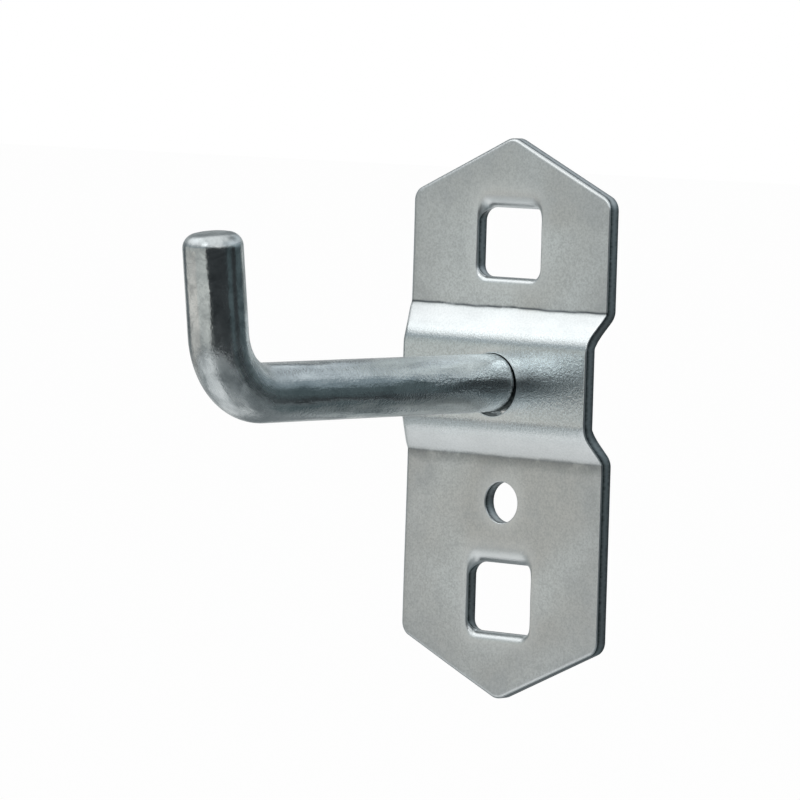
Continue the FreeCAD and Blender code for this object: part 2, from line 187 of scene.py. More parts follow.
@dataclass(frozen=True)
class SatinZinc:
    """Bright electroplated zinc on cold-rolled sheet: cool satin grey, faintly clouded and finely grained.

    The plating is duller towards the outline and smoother on the raised band. The band's two slopes get a
    painted highlight, the rolled rims are rubbed bright and get a painted highlight, as does a halo round the
    openings, and the creases at the slopes' roots get painted shade.
    """

    # Thin plating over rolled steel gives the eye a soft sheen that clouds and grain break up.
    name: str = "satin_zinc_on_rolled_sheet"
    cool: str = "#D3DADB"
    warm: str = "#C5C8C6"
    dull: str = "#BEC3C4"
    speck: str = "#A0A6A7"
    ironed: str = "#C8D3D6"
    # Painted highlight on the band's two slopes.
    slope_highlight: str = "#DEE2E3"
    # Rubbed plating with a painted highlight on the rolled rims and round the openings.
    rubbed_highlight: str = "#DADFE0"
    # Painted shade in the creases at the slopes' roots.
    crease_shade: str = "#4A5053"
    cloud_mm: float = 13.0
    patch_mm: float = 3.6
    # The real grain is a few hundredths of a millimetre, too fine to show, so it is drawn coarser.
    grain_mm: float = 0.2
    grain_strength: float = 0.7
    grain_depth: float = 0.03
    smoothest: float = 0.36
    roughest: float = 0.46
    ironed_roughness: float = 0.2
    rubbed_roughness: float = 0.32
    # The band's middle, and how far from it the slopes begin, take the full painted highlight, lose it again
    # and end.
    band_middle: float = -18.5
    half_band: float = 4.0
    slope_full: float = 6.4
    slope_end: float = 7.5
    fold_end: float = 8.0
    # Noise values between which each mark comes in, and how much of it there is.
    cloud_levels: Span = (0.38, 0.6)
    worn_levels: Span = (0.52, 0.72)
    worn_most: float = 0.55
    brim_gain: float = 2.0
    ironed_share: float = 0.8
    slope_highlight_share: float = 0.8
    pit_levels: Span = (0.34, 0.62)
    pit_most: float = 0.5
    slope_grain: float = 0.4
    crease_shade_levels: Span = (0.3, 0.5)
    satin_levels: Span = (0.3, 0.7)

    def material(self) -> bpy.types.Material:
        """Builds the finish on the plate's own coordinates and on what its mesh marks.

        Returns:
            The material.
        """
        material, tree, shader = new_metal(self.name)
        place = add_node(tree, "ShaderNodeTexCoord", output="Object")
        rim, crease_shade, brim = (add_node(tree, "ShaderNodeAttribute", output="Fac", attribute_name=name)
                             for name in ("rim", "crease_shade", "brim"))
        clouds, patches, grain = (
            add_node(tree, "ShaderNodeTexNoise", {
                "Vector": place, "Scale": per_metre(size), "Detail": detail, "Roughness": rough,
                "Distortion": twist})
            for size, detail, rough, twist in (
                (self.cloud_mm, 1.0, 0.5, 0.6), (self.patch_mm, 5.0, 0.65, 0.0),
                (self.grain_mm, 2.0, 0.6, 0.0)))

        height = add_node(tree, "ShaderNodeSeparateXYZ", (place,), "Z")
        offset = add_node(tree, "ShaderNodeMath", (height, self.band_middle * MM), operation="SUBTRACT")
        away = add_node(tree, "ShaderNodeMath", (offset,), operation="ABSOLUTE")
        begins, full, fades, ends = (
            size * MM for size in (self.half_band, self.slope_full, self.slope_end, self.fold_end))
        ironed = add_node(tree, "ShaderNodeMapRange", (away, begins, ends, 1.0, 0.0))
        rising = add_node(tree, "ShaderNodeMapRange", (away, begins, full))
        falling = add_node(tree, "ShaderNodeMapRange", (away, fades, ends, 1.0, 0.0))
        # The slopes' painted highlight rises and falls here; the same share also calms the grain on the
        # slopes.
        slope_highlight = add_node(tree, "ShaderNodeMath", (rising, falling), operation="MINIMUM")
        coarse = add_node(tree, "ShaderNodeMapRange", (slope_highlight, 0.0, 1.0, 1.0, self.slope_grain))

        cloudy = add_node(tree, "ShaderNodeMapRange", (clouds, *self.cloud_levels))
        # Here only real wear: dull patches, with more of them along the outline.
        wear_and_halo = add_node(tree, "ShaderNodeMapRange", (patches, *self.worn_levels, 0.0, self.worn_most))
        edged = add_node(tree, "ShaderNodeMath", (brim, patches), operation="MULTIPLY")
        wear_and_halo = add_node(tree, "ShaderNodeMath", (edged, self.brim_gain, wear_and_halo), operation="MULTIPLY_ADD",
                        use_clamp=True)
        pressed = add_node(tree, "ShaderNodeMath", (ironed, self.ironed_share), operation="MULTIPLY")
        # drawn is the share of the slopes' painted highlight.
        drawn = add_node(tree, "ShaderNodeMath", (slope_highlight, self.slope_highlight_share), operation="MULTIPLY")
        pits = add_node(tree, "ShaderNodeMapRange", (grain, *self.pit_levels, self.pit_most, 0.0))
        pits = add_node(tree, "ShaderNodeMath", (pits, coarse), operation="MULTIPLY")
        # creased is the share of painted shade in the creases, broken up by patches.
        broken = add_node(tree, "ShaderNodeMapRange", (patches, *self.crease_shade_levels))
        creased = add_node(tree, "ShaderNodeMath", (crease_shade, broken), operation="MULTIPLY")
        tone = linear(self.warm)
        for share, colour in (
                (cloudy, self.cool), (wear_and_halo, self.dull), (pressed, self.ironed), (drawn, self.slope_highlight),
                (pits, self.speck), (rim, self.rubbed_highlight), (creased, self.crease_shade)):
            tone = add_node(tree, "ShaderNodeMix", {
                "Factor_Float": share, "A_Color": tone, "B_Color": linear(colour),
            }, "Result_Color", data_type="RGBA")
        tree.links.new(tone, shader.inputs["Base Color"])

        rough = add_node(tree, "ShaderNodeMapRange", (
            patches, *self.satin_levels, self.smoothest, self.roughest))
        for share, reached in ((ironed, self.ironed_roughness), (rim, self.rubbed_roughness)):
            rough = add_node(tree, "ShaderNodeMapRange", (share, 0.0, 1.0, rough, reached))
        tree.links.new(rough, shader.inputs["Roughness"])
        relief = add_node(tree, "ShaderNodeMath", (coarse, self.grain_strength), operation="MULTIPLY")
        bump = add_node(tree, "ShaderNodeBump", {
            "Height": grain, "Strength": relief, "Distance": self.grain_depth * MM})
        tree.links.new(bump, shader.inputs["Normal"])
        return material


@dataclass(frozen=True)
class ShearedSteel:
    """Sheet edge cut by a press: painted shade under the rolled rim, lighter where cut, darker again where it
    broke.
    """

    # Plating hardly takes on a fresh cut: the eye gets a dull, streaked wall, darker than the sheet's face.
    name: str = "sheared_edge_thinly_plated"
    # Painted shade in the wall just under the rolled rim.
    under_roll_shade: str = "#4C5254"
    cut: str = "#B2B8BA"
    broken: str = "#7E8486"
    # The real streaks are about a tenth of a millimetre apart, too fine to show, so they are drawn coarser.
    streak_mm: float = 0.3
    streak_stretch: float = 4.0
    streak_strength: float = 0.4
    streak_depth: float = 0.03
    raggedness: float = 0.5
    cut_levels: Span = (0.3, 0.65)
    broken_levels: Span = (0.85, 1.15)
    roughness: float = 0.42

    def material(self) -> bpy.types.Material:
        """Builds the finish: painted shade under the rim, then cut and then broken through the sheet, with
        streaks that run the same way.

        Returns:
            The material.
        """
        material, tree, shader = new_metal(self.name)
        shader.inputs["Roughness"].default_value = self.roughness
        place = add_node(tree, "ShaderNodeTexCoord", output="Object")
        through = add_node(tree, "ShaderNodeAttribute", output="Fac", attribute_name="shear")
        stretched = add_node(tree, "ShaderNodeMapping", {
            "Vector": place, "Scale": (1.0, 1 / self.streak_stretch, 1.0)})
        streaks = add_node(tree, "ShaderNodeTexNoise", {
            "Vector": stretched, "Scale": per_metre(self.streak_mm), "Detail": 3.0, "Roughness": 0.6})
        ragged = add_node(tree, "ShaderNodeMath", (streaks, self.raggedness, through),
                          operation="MULTIPLY_ADD")
        tone = linear(self.under_roll_shade)
        for levels, colour in ((self.cut_levels, self.cut), (self.broken_levels, self.broken)):
            share = add_node(tree, "ShaderNodeMapRange", (ragged, *levels))
            tone = add_node(tree, "ShaderNodeMix", {
                "Factor_Float": share, "A_Color": tone, "B_Color": linear(colour),
            }, "Result_Color", data_type="RGBA")
        tree.links.new(tone, shader.inputs["Base Color"])
        bump = add_node(tree, "ShaderNodeBump", {
            "Height": streaks, "Strength": self.streak_strength, "Distance": self.streak_depth * MM})
        tree.links.new(bump, shader.inputs["Normal"])
        return material


@dataclass(frozen=True)
class DrawnZinc:
    """Bright zinc on drawn bar: smoother than the sheet, with faint lines along it and a fine orange peel.

    It is lighter at the root with a painted reflection of the plate, smudged from the bend on by handling,
    and rougher where the bend stretched it and on the cropped end.
    """

    # Plating on smooth bar gives the eye clear, stretched reflections that waver along the bar.
    name: str = "bright_zinc_on_drawn_bar"
    light: str = "#CFD5D6"
    shade: str = "#B0B7B9"
    # Painted reflection of the plate, lighter towards the root.
    root_reflection: str = "#E6ECEE"
    smudge: str = "#8D9496"
    speck: str = "#858C8E"
    patch_mm: float = 5.0
    smudge_mm: float = 1.6
    wave_mm: float = 2.5
    wave_stretch: float = 2.5
    # Real specks, peel and drawing lines are under a tenth of a millimetre, too fine to show: drawn coarser.
    speck_mm: float = 0.2
    peel_mm: float = 0.3
    line_mm: float = 0.5
    line_stretch: float = 18.0
    peel_share: float = 0.6
    peel_depth: float = 0.09
    wave_depth: float = 0.35
    smoothest: float = 0.1
    roughest: float = 0.18
    stretched_roughness: float = 0.14
    cropped_roughness: float = 0.36
    # Along the straightened bar: where its relief, the painted reflection at its root and its smudges change,
    # and by how much.
    relief_ramp: Ramp = (12.0, 46.0, 1.0, 0.3)
    root_reflection_ramp: Ramp = (8.0, 22.0, 0.9, 0.0)
    smudge_ramp: Ramp = (34.0, 44.0, 0.0, 0.7)
    bend_mm: float = 43.3
    bend_fade: Span = (3.0, 8.0)
    bend_relief: float = 0.6
    length_mm: float = 58.7
    crop_fade: Span = (1.4, 0.6)
    # Noise values between which each mark comes in, and how much of it there is.
    tarnish_levels: Span = (0.4, 0.66)
    smudge_levels: Span = (0.46, 0.68)
    pit_levels: Span = (0.34, 0.54)
    pit_most: float = 0.5
    line_levels: Span = (0.3, 0.7)

    def material(self) -> bpy.types.Material:
        """Builds the finish on the bar's own straightened coordinates, so that its lines follow the bend.

        Returns:
            The material.
        """
        material, tree, shader = new_metal(self.name)
        unbent = add_node(tree, "ShaderNodeAttribute", output="Vector", attribute_name="unbent")
        drawn, slow = (
            add_node(tree, "ShaderNodeMapping", {"Vector": unbent, "Scale": (1.0, 1.0, 1 / stretch)})
            for stretch in (self.line_stretch, self.wave_stretch))
        lines, waves, patches, smudges, specks, peel = (
            add_node(tree, "ShaderNodeTexNoise", {
                "Vector": place, "Scale": per_metre(size), "Detail": detail, "Roughness": rough,
                "Distortion": twist})
            for place, size, detail, rough, twist in (
                (drawn, self.line_mm, 4.0, 0.6, 0.0), (slow, self.wave_mm, 1.0, 0.5, 0.0),
                (unbent, self.patch_mm, 4.0, 0.6, 0.8), (unbent, self.smudge_mm, 4.0, 0.6, 0.5),
                (unbent, self.speck_mm, 3.0, 0.7, 0.0), (unbent, self.peel_mm, 2.0, 0.55, 0.0)))
        along = add_node(tree, "ShaderNodeSeparateXYZ", (unbent,), "Z")
        uneven, root_reflected, handled = (
            add_node(tree, "ShaderNodeMapRange", (along, start * MM, end * MM, first, last))
            for start, end, first, last in (self.relief_ramp, self.root_reflection_ramp, self.smudge_ramp))

        tarnish = add_node(tree, "ShaderNodeMapRange", (patches, *self.tarnish_levels))
        smudged = add_node(tree, "ShaderNodeMapRange", (smudges, *self.smudge_levels, 0.0, handled))
        pits = add_node(tree, "ShaderNodeMapRange", (specks, *self.pit_levels, self.pit_most, 0.0))
        pits = add_node(tree, "ShaderNodeMath", (pits, uneven), operation="MULTIPLY")
        tone = linear(self.light)
        for share, colour in (
                (tarnish, self.shade), (root_reflected, self.root_reflection), (smudged, self.smudge), (pits, self.speck)):
            tone = add_node(tree, "ShaderNodeMix", {
                "Factor_Float": share, "A_Color": tone, "B_Color": linear(colour),
            }, "Result_Color", data_type="RGBA")
        tree.links.new(tone, shader.inputs["Base Color"])

        from_bend = add_node(tree, "ShaderNodeMath", (along, self.bend_mm * MM), operation="SUBTRACT")
        off_bend = add_node(tree, "ShaderNodeMath", (from_bend,), operation="ABSOLUTE")
        near, far = self.bend_fade
        stretched = add_node(tree, "ShaderNodeMapRange", (off_bend, near * MM, far * MM, 1.0, 0.0))
        rough = add_node(tree, "ShaderNodeMapRange", (
            lines, *self.line_levels, self.smoothest, self.roughest))
        rough = add_node(tree, "ShaderNodeMath", (stretched, self.stretched_roughness, rough),
                         operation="MULTIPLY_ADD")
        start, end = ((self.length_mm - left) * MM for left in self.crop_fade)
        rough = add_node(tree, "ShaderNodeMapRange", (along, start, end, rough, self.cropped_roughness))
        tree.links.new(rough, shader.inputs["Roughness"])

        fine = add_node(tree, "ShaderNodeMix", {
            "Factor_Float": self.peel_share, "A_Float": lines, "B_Float": peel}, "Result_Float")
        creased = add_node(tree, "ShaderNodeMath", (stretched, self.bend_relief), operation="MULTIPLY")
        relief = add_node(tree, "ShaderNodeMath", (uneven, creased), operation="MAXIMUM")
        wavy = add_node(tree, "ShaderNodeBump", {
            "Height": waves, "Strength": relief, "Distance": self.wave_depth * MM})
        bump = add_node(tree, "ShaderNodeBump", {
            "Height": fine, "Strength": relief, "Distance": self.peel_depth * MM, "Normal": wavy})
        tree.links.new(bump, shader.inputs["Normal"])
        return material


@dataclass
class CutEdge:
    """A closed edge that the press cut: its points in the sheet's plane, and how its front rolls over."""

    points: np.ndarray
    into_sheet: np.ndarray
    roll: np.ndarray
    stretch: np.ndarray | float = 1.0

    def ring(self, turn: float) -> np.ndarray:
        """Moves the edge to where the front has turned towards the cut wall.

        Args:
            turn: Degrees turned, from 0 on the sheet's face to 90 at the wall.

        Returns:
            The points there.
        """
        inset = self.roll * self.stretch * (1 - math.sin(math.radians(turn)))
        return self.points + self.into_sheet * inset[:, None]

    def depth(self, turn: float) -> np.ndarray:
        """Gives how far the rolled front has dropped at such a turn."""
        return self.roll * (1 - math.cos(math.radians(turn)))


@dataclass
class SheetLayout:
    """The sheet's front in triangles: points, each one's drop and turn, faces, and rings at the cut edges."""

    points: np.ndarray
    drop: np.ndarray
    turned: np.ndarray
    faces: list[list[int]]
    rings: list[list[int]]


def rounded_loop(corners: Sequence[tuple[float, float, float]], spacing: float,
                 stations: Sequence[float] = ()) -> np.ndarray:
    """Draws an anticlockwise polygon with rounded corners as closely spaced points.

    Args:
        corners: Across, up and rounding of each corner.
        spacing: Longest step on the straight runs.
        stations: Heights at which upright runs get their points instead.

    Returns:
        The points, one row each.
    """
    # How far an upright run may lean, and the share at its ends that gets no points.
    upright, margin = 1e-6, 0.01
    arcs = []
    for index, (across, up, radius) in enumerate(corners):
        corner = np.array((across, up))
        back = np.array(corners[index - 1][:2]) - corner
        ahead = np.array(corners[(index + 1) % len(corners)][:2]) - corner
        back, ahead = back / np.linalg.norm(back), ahead / np.linalg.norm(ahead)
        half_angle = math.acos(float(back @ ahead)) / 2
        bisector = (back + ahead) / np.linalg.norm(back + ahead)
        centre = corner + bisector * radius / math.sin(half_angle)
        first = corner + back * radius / math.tan(half_angle) - centre
        last = corner + ahead * radius / math.tan(half_angle) - centre
        start = math.atan2(first[1], first[0])
        sweep = (math.atan2(last[1], last[0]) - start + math.pi) % math.tau - math.pi
        angles = start + sweep * np.linspace(0, 1, max(3, math.ceil(abs(sweep) / ARC_STEP)))
        arcs.append(centre + radius * np.column_stack((np.cos(angles), np.sin(angles))))
    parts = []
    for arc, following in zip(arcs, arcs[1:] + arcs[:1]):
        start, run = arc[-1], following[0] - arc[-1]
        if stations and abs(run[0]) < upright:
            shares = sorted((up - start[1]) / run[1] for up in stations)
            shares = [share for share in shares if margin < share < 1 - margin]
        else:
            count = math.ceil(np.linalg.norm(run) / spacing)
            shares = [step / count for step in range(1, count)]
        parts += [arc] + [(start + run * share)[None] for share in shares]
    return np.vstack(parts)


def facing(points: np.ndarray, inwards: bool) -> np.ndarray:
    """Gives the directions square to an anticlockwise loop.

    Args:
        points: The loop.
        inwards: Pointing into the loop, or else out of it.

    Returns:
        A direction of length 1 for each point.
    """
    along = np.roll(points, -1, axis=0) - np.roll(points, 1, axis=0)
    inside = np.column_stack((-along[:, 1], along[:, 0]))
    inside /= np.linalg.norm(inside, axis=1)[:, None]
    return inside if inwards else -inside


def within(spots: np.ndarray, loop: np.ndarray) -> np.ndarray:
    """Tells which spots lie inside a loop, by counting the sides to the right of each.

    Args:
        spots: Points in the sheet's plane.
        loop: The loop's points.

    Returns:
        True for each spot inside.
    """
    # A level side is never crossed, but its rise still mustn't be zero.
    level_rise = 1e-12
    x, z = spots[:, :1], spots[:, 1:]
    x0, z0 = loop[:, 0], loop[:, 1]
    x1, z1 = np.roll(x0, -1), np.roll(z0, -1)
    crossed = (z0 > z) != (z1 > z)
    rise = np.where(z1 == z0, level_rise, z1 - z0)
    return (crossed & (x < x0 + (z - z0) / rise * (x1 - x0))).sum(axis=1) % 2 == 1


def on_sheet(spots: np.ndarray, edges: Sequence[CutEdge]) -> np.ndarray:
    """Tells which spots lie on the sheet.

    Args:
        spots: Points in the sheet's plane.
        edges: The outline, and then the openings.

    Returns:
        True for each spot inside the outline and outside the openings.
    """
    kept = within(spots, edges[0].points)
    for edge in edges[1:]:
        kept &= ~within(spots, edge.points)
    return kept


def gap_to(spots: np.ndarray, points: np.ndarray, margin: np.ndarray | float = 0.0) -> np.ndarray:
    """Gives how far each spot lies from the nearest of some points, less a margin round each point."""
    return (np.linalg.norm(spots[:, None] - points[None], axis=2) - margin).min(axis=1)


@dataclass
class BackPlate:
    """The pressed plate: a sheet with a raised band, rolled edges, lanced windows and bent-back tongues."""

    # The outline, drawn in beside the band.
    width: float = 27.1
    waist_depth: float = 0.9
    waist_start: float = 8.35
    waist_run: float = 3.8
    thickness: float = 1.5
    upper_shoulder: float = 1.3
    lower_shoulder: float = -46.25
    point_rise: float = 6.35
    shoulder_radius: float = 1.6
    point_radius: float = 2.0
    # The raised band and its folds.
    band_middle: float = -18.5
    half_band: float = 4.751
    slope_height: float = 3.2
    joggle: float = 2.2
    fold_radius: float = 0.5
    crest_ease: float = 1.8
    # The windows, and the tongues bent back out of them.
    tongue_pitch: float = 38.0
    tongue_width: float = 8.6
    window_drop: float = 7.4
    window_radius: float = 1.2
    lip_corner: float = 1.5
    lip_radius: float = 0.2
    panel_gap: float = 2.1
    upturn: float = 4.0
    lower_reach: float = 7.5
    taper: float = 1.4
    tongue_ease: float = 0.12
    tongue_bury: float = 0.04
    # The bar's hole and the screw hole.
    bar_hole_height: float = -18.7
    bar_hole_radius: float = 3.34
    screw_height: float = -31.3755
    screw_radius: float = 2.2
    # How the front rolls over at the cut edges: deeper on the left, at the lips and at the sills.
    edge_roll: float = 0.42
    roll_shift: float = 0.6
    window_roll: float = 0.26
    hole_roll: float = 0.15
    upper_sill_roll: float = 0.65
    lower_sill_roll: float = 1.0
    lip_roll: float = 1.45
    lip_stretch: float = 1.35
    turns: tuple[float, ...] = (90.0, 75.0, 60.0, 45.0, 30.0, 15.0, 0.0)
    # Share, waves round the loop and phases of each swell in an edge's roll.
    swells: tuple[tuple[float, int, int], ...] = ((0.07, 5, 1), (0.05, 13, 2))
    outline_phase: float = 0.4
    window_phases: Span = (1.1, 2.3)
    # Where the plating is rubbed or dulled, where painted highlight lies on the rims and round the openings,
    # and where painted shade lies in the creases. The creases wander by a size, a rate and a phase.
    rim_highlight_gain: float = 1.3
    halo_highlight_share: float = 0.35
    halo_highlight_reach: float = 0.9
    brim_share: float = 0.7
    brim_reach: float = 4.5
    crease_shade_spread: float = 0.13
    lower_crease_shade_spread: float = 0.85
    lower_crease_shade: float = 0.5
    wanders: tuple[tuple[float, float, float], ...] = ((0.05, 0.55, 1.0), (0.03, 1.9, 0.0))
    # How closely the mesh is divided: rows round the crests and roots of the folds, and between them.
    crest_rows: Span = (-1.15, 0.9)
    root_rows: Span = (-1.15, 0.35)
    fold_count: int = 17
    band_margin: float = 1.6
    band_count: int = 5
    slope_margins: Span = (1.1, 1.3)
    slope_count: int = 2
    row_step: float = 0.8
    outline_step: float = 0.5
    window_step: float = 0.4
    hole_count: int = 72
    column_count: int = 33
    bend_count: int = 7
    clearance: float = 0.25
    merge: float = 1e-5
    side_facing: float = 0.6
    sharpest: float = 42.0

    def sheet(self, up: np.ndarray, front: bool) -> np.ndarray:
        """Gives how far forward or back the pressed sheet's surface lies.

        Args:
            up: Heights in the frame.
            front: The front surface, or else the back.

        Returns:
            Y of that surface at each height.
        """
        slope = math.atan2(self.joggle, self.slope_height)
        slack = math.tan(slope / 2)
        outer = self.fold_radius + self.thickness
        shift = 0.0 if front else self.thickness * slack
        base = -self.thickness if front else 0.0
        crest_radius = outer + self.crest_ease if front else self.fold_radius
        root_radius = self.fold_radius if front else outer
        crest, root = self.half_band - shift, self.half_band + self.slope_height - shift
        crest_start, root_end = crest - crest_radius * slack, root + root_radius * slack
        away = np.abs(up - self.band_middle)
        ramp = base - self.joggle + (np.clip(away, crest, root) - crest) * math.tan(slope)
        on_crest = np.clip(away - crest_start, 0, crest_radius * math.sin(slope))
        crest_arc = base - self.joggle + crest_radius - np.sqrt(crest_radius ** 2 - on_crest ** 2)
        on_root = np.clip(root_end - away, 0, root_radius * math.sin(slope))
        root_arc = base - root_radius + np.sqrt(root_radius ** 2 - on_root ** 2)
        surface = np.where(away < crest_start + crest_radius * math.sin(slope), crest_arc, ramp)
        return np.where(away > root_end - root_radius * math.sin(slope), root_arc, surface)

    def stations(self) -> list[float]:
        """Lists the heights at which the sheet needs points: closely through the folds and widely between.

        Returns:
            The heights, from the lowest up.
        """
        crest, root = self.half_band, self.half_band + self.slope_height
        fine = np.concatenate((
            np.linspace(crest + self.crest_rows[0], crest + self.crest_rows[1], self.fold_count),
            np.linspace(root + self.root_rows[0], root + self.root_rows[1], self.fold_count),
            np.linspace(0, crest - self.band_margin, self.band_count),
            np.linspace(crest + self.slope_margins[0], root - self.slope_margins[1], self.slope_count)))
        near = np.concatenate((self.band_middle + fine, self.band_middle - fine))
        top, bottom = self.upper_shoulder + self.point_rise, self.lower_shoulder - self.point_rise
        far = np.arange(bottom, top, self.row_step)
        far = far[np.abs(far - self.band_middle) > root + self.row_step]
        return sorted(set(np.round(np.concatenate((near, far)), 4)))

    def waist(self, points: np.ndarray) -> np.ndarray:
        """Draws the sides in beside the raised band.

        Args:
            points: The straight-sided outline.

        Returns:
            The waisted one.
        """
        away = np.abs(points[:, 1] - self.band_middle)
        share = np.clip((self.waist_start - away) / self.waist_run, 0, 1)
        drawn = points.copy()
        drawn[:, 0] -= np.sign(points[:, 0]) * self.waist_depth * (1 - np.cos(math.pi * share)) / 2
        return drawn

    def uneven(self, count: int, phase: float) -> np.ndarray:
        """Makes a roll swell and shrink a little along an edge, as a press leaves it.

        Args:
            count: How many points the edge has.
            phase: Where its swells begin.

        Returns:
            What to multiply the roll by at each point.
        """
        lap = np.linspace(0, math.tau, count, endpoint=False)
        share = np.ones(count)
        for size, waves, phases in self.swells:
            share += size * np.sin(waves * lap + phases * phase)
        return share

    def cut_edges(self) -> list[CutEdge]:
        """Makes the edges that the press cut.

        Returns:
            The outline, the two windows and the two holes, in that order.
        """
        half, top, bottom = self.width / 2, self.upper_shoulder, self.lower_shoulder
        outline = self.waist(rounded_loop([
            (0, bottom - self.point_rise, self.point_radius), (half, bottom, self.shoulder_radius),
            (half, top, self.shoulder_radius), (0, top + self.point_rise, self.point_radius),
            (-half, top, self.shoulder_radius), (-half, bottom, self.shoulder_radius),
        ], self.outline_step, self.stations()))
        inward = facing(outline, True)
        swell = self.uneven(len(outline), self.outline_phase)
        edges = [CutEdge(outline, inward, self.edge_roll * (1 + self.roll_shift * inward[:, 0]) * swell)]
        side = self.tongue_width / 2
        for phase, under, sill_roll in zip(self.window_phases, (0.0, -self.tongue_pitch),
                                           (self.upper_sill_roll, self.lower_sill_roll)):
            sill = under - self.window_drop
            window = rounded_loop([
                (-side, sill, self.window_radius), (side, sill, self.window_radius),
                (side, under, self.lip_corner), (-side, under, self.lip_corner),
            ], self.window_step)
            into = facing(window, False)
            lip, sill_share = np.clip(into[:, 1], 0, 1) ** 2, np.clip(-into[:, 1], 0, 1) ** 2
            roll = self.window_roll * self.uneven(len(window), phase)
            roll += (self.lip_roll - roll) * lip + (sill_roll - roll) * sill_share
            edges.append(CutEdge(window, into, roll, 1 + (self.lip_stretch - 1) * lip))
        angles = np.linspace(0, math.tau, self.hole_count, endpoint=False)
        for up, radius in (
                (self.bar_hole_height, self.bar_hole_radius), (self.screw_height, self.screw_radius)):
            hole = np.column_stack((radius * np.cos(angles), up + radius * np.sin(angles)))
            edges.append(CutEdge(hole, facing(hole, False), np.full(len(hole), self.hole_roll)))
        return edges

    def filling(self, edges: Sequence[CutEdge]) -> np.ndarray:
        """Lays rows of points over the sheet, clear of the rolled edges.

        Args:
            edges: The outline and the openings.

        Returns:
            The points.
        """
        columns = np.linspace(-self.width / 2, self.width / 2, self.column_count)
        spots = np.array([(x, z) for z in self.stations() for x in columns])
        spots = spots[on_sheet(spots, edges)]
        gaps = [gap_to(spots, edge.points, edge.roll * edge.stretch) for edge in edges]
        return spots[np.min(gaps, axis=0) > self.clearance]

    def lay_out(self, edges: Sequence[CutEdge]) -> SheetLayout:
        """Divides the sheet's front into triangles between its rolled edges.

        Args:
            edges: The outline and the openings.

        Returns:
            The front, laid flat, with what the rolled edges do to it.
        """
        flat, drop, turned, links, loops = [], [], [], [], []
        for edge in edges:
            for turn in self.turns:
                start, count = sum(map(len, flat)), len(edge.points)
                flat.append(edge.ring(turn))
                drop.append(edge.depth(turn))
                turned.append(np.full(count, math.sin(math.radians(turn))))
                links += [(start + i, start + (i + 1) % count) for i in range(count)]
                if turn == self.turns[0]:
                    loops.append(range(start, start + count))
        inner = self.filling(edges)
        flat.append(inner)
        for values in (drop, turned):
            values.append(np.zeros(len(inner)))
        found, _, faces, origins, _, _ = delaunay_2d_cdt(
            [Vector(spot) for spot in np.vstack(flat)], links, [], 0, self.merge)
        number_of = {source: number for number, sources in enumerate(origins) for source in sources}
        first = [sources[0] for sources in origins]
        laid = np.array([spot[:] for spot in found])
        kept = on_sheet(laid[np.array(faces)].mean(axis=1), edges)
        return SheetLayout(
            laid, np.concatenate(drop)[first], np.concatenate(turned)[first],
            [face for face, keep in zip(faces, kept) if keep],
            [[number_of[source] for source in loop] for loop in loops])

    def marks(self, layout: SheetLayout,
              edges: Sequence[CutEdge]) -> tuple[np.ndarray, np.ndarray, np.ndarray]:
        """Works out where the front's plating is rubbed or dulled, and where it gets painted highlight or
        painted shade.

        Args:
            layout: The sheet's front.
            edges: The outline and the openings.

        Returns:
            The shares of rubbed rim with painted highlight, of painted crease shade and of dull brim at each
            point.
        """
        across, up = layout.points[:, 0], layout.points[:, 1]
        root = self.half_band + self.slope_height
        away = np.abs(up - self.band_middle)
        wander = np.zeros(len(up))
        for size, rate, phase in self.wanders:
            wander += size * np.sin(rate * across + phase)
        above = up > self.band_middle
        spread = np.where(above | (away < root + wander), self.crease_shade_spread, self.lower_crease_shade_spread)
        crease_shade = np.exp(-((away - root - wander) / spread) ** 2) * np.where(above, 1.0, self.lower_crease_shade)
        # Painted highlight as a halo round the openings, joined to the rolled rims, which are also rubbed.
        gaps = [gap_to(layout.points, edge.ring(0.0)) for edge in edges[1:]]
        wear_and_halo = self.halo_highlight_share * np.exp(-(np.min(gaps, axis=0) / self.halo_highlight_reach) ** 2)
        rim = np.maximum(np.minimum(1.0, layout.turned * self.rim_highlight_gain), wear_and_halo)
        brim = self.brim_share * np.exp(-(gap_to(layout.points, edges[0].points) / self.brim_reach) ** 2)
        return rim, crease_shade, brim

    def add_sheet(self, bm: bmesh.types.BMesh) -> None:
        """Builds the closed sheet: rolled front, plain back and cut walls.

        Args:
            bm: Mesh that gets the sheet, with float layers rim, crease, shear and brim.
        """
        edges = self.cut_edges()
        layout = self.lay_out(edges)
        rim, crease_shade, shear, brim = (bm.verts.layers.float[name] for name in MARKS)
        fronts = self.sheet(layout.points[:, 1], True) + layout.drop
        backs = self.sheet(layout.points[:, 1], False)
        front_verts, back_verts = [], []
        for (x, z), front, back, *shares in zip(layout.points, fronts, backs, *self.marks(layout, edges)):
            vert = bm.verts.new((x * MM, front * MM, z * MM))
            vert[rim], vert[crease_shade], vert[brim] = shares
            front_verts.append(vert)
            vert = bm.verts.new((x * MM, back * MM, z * MM))
            vert[shear] = 1.0
            back_verts.append(vert)
        for face in layout.faces:
            bm.faces.new([front_verts[i] for i in face])
            bm.faces.new([back_verts[i] for i in reversed(face)])
        for ring in layout.rings:
            for here, there in zip(ring, ring[1:] + ring[:1]):
                wall = bm.faces.new((
                    front_verts[here], front_verts[there], back_verts[there], back_verts[here]))
                wall.material_index = 1
        loose = [vert for vert in bm.verts if not vert.link_faces]
        bmesh.ops.delete(bm, geom=loose, context="VERTS")

